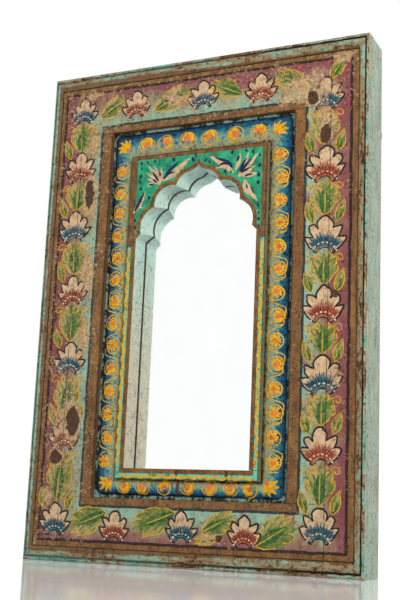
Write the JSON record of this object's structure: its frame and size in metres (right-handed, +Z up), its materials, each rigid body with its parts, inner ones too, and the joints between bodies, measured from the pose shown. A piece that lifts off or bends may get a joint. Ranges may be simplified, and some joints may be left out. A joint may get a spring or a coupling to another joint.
{
  "type": "painted mirror",
  "caption": "Wall mirror behind a cusped arch panel, in a painted plank border with a half-round moulding and a deep moulded casing; swinging ring hangers on the back.",
  "frame": {"origin": "middle of the casing's underside, at half the frame's depth without the hangers", "axes": "+X to the right as seen from the front, +Y into the wall, +Z up"},
  "size_m": [0.4144, 0.0611, 0.6],
  "materials": {
    "casing_paint": "worn pale turquoise and olive paint over plaster and wood",
    "border_paint": "worn maroon and tan paint with painted flowers, brown margins and black lines",
    "cushion_paint": "satin blue paint fading to pale green, with yellow scrolls",
    "arch_paint": "satin green paint with cream leaves and a brown edge band, pale green reveal",
    "raw_wood": "sawn and unpainted",
    "hardboard": "smooth brown hardboard",
    "plywood": "unfinished plywood",
    "silvered_glass": "silvered glass",
    "steel": "zinc plated"
  },
  "bodies": {
    "root": {"casing_left": "casing_paint", "casing_right": "casing_paint", "casing_top": "casing_paint", "casing_bottom": "casing_paint", "outer_stile_left": "border_paint", "outer_stile_right": "border_paint", "rail_top": "border_paint", "rail_bottom": "border_paint", "inner_stile_left": "border_paint", "inner_stile_right": "border_paint", "cushion_left": "cushion_paint", "cushion_right": "cushion_paint", "cushion_top": "cushion_paint", "cushion_bottom_left": "cushion_paint", "cushion_bottom_centre": "cushion_paint", "cushion_bottom_right": "cushion_paint", "arch_head": "arch_paint", "jamb_left": "arch_paint", "jamb_right": "arch_paint", "sill_left": "arch_paint", "sill_centre": "arch_paint", "sill_right": "arch_paint", "liner_left": "raw_wood", "liner_right": "raw_wood", "liner_top": "raw_wood", "liner_bottom": "raw_wood", "batten_left": "raw_wood", "batten_right": "raw_wood", "batten_top": "raw_wood", "batten_bottom": "raw_wood", "mirror_backing": "hardboard", "back_panel": "plywood", "mirror_glass": "silvered_glass", "hanger_plate_left": "steel", "hanger_plate_right": "steel", "hanger_screw_1": "steel", "hanger_screw_2": "steel", "hanger_screw_3": "steel", "hanger_screw_4": "steel", "backing_tack_1": "steel", "backing_tack_2": "steel", "backing_tack_3": "steel", "backing_tack_4": "steel", "backing_tack_5": "steel", "backing_tack_6": "steel", "back_panel_nail_1": "steel", "back_panel_nail_2": "steel", "back_panel_nail_3": "steel", "back_panel_nail_4": "steel", "back_panel_nail_5": "steel", "back_panel_nail_6": "steel", "back_panel_nail_7": "steel", "back_panel_nail_8": "steel", "back_panel_nail_9": "steel", "back_panel_nail_10": "steel"},
    "ring_left": {"hanger_ring_left": "steel"},
    "ring_right": {"hanger_ring_right": "steel"}
  },
  "joints": [
    {"name": "ring_left_swing", "type": "hinge", "parent": "root", "child": "ring_left", "pos_m": [-0.1997, 0.0307, 0.5], "axis": [1, 0, 0], "range_deg": [0, 186]},
    {"name": "ring_right_swing", "type": "hinge", "parent": "root", "child": "ring_right", "pos_m": [0.1997, 0.0307, 0.5], "axis": [1, 0, 0], "range_deg": [0, 186]}
  ]
}
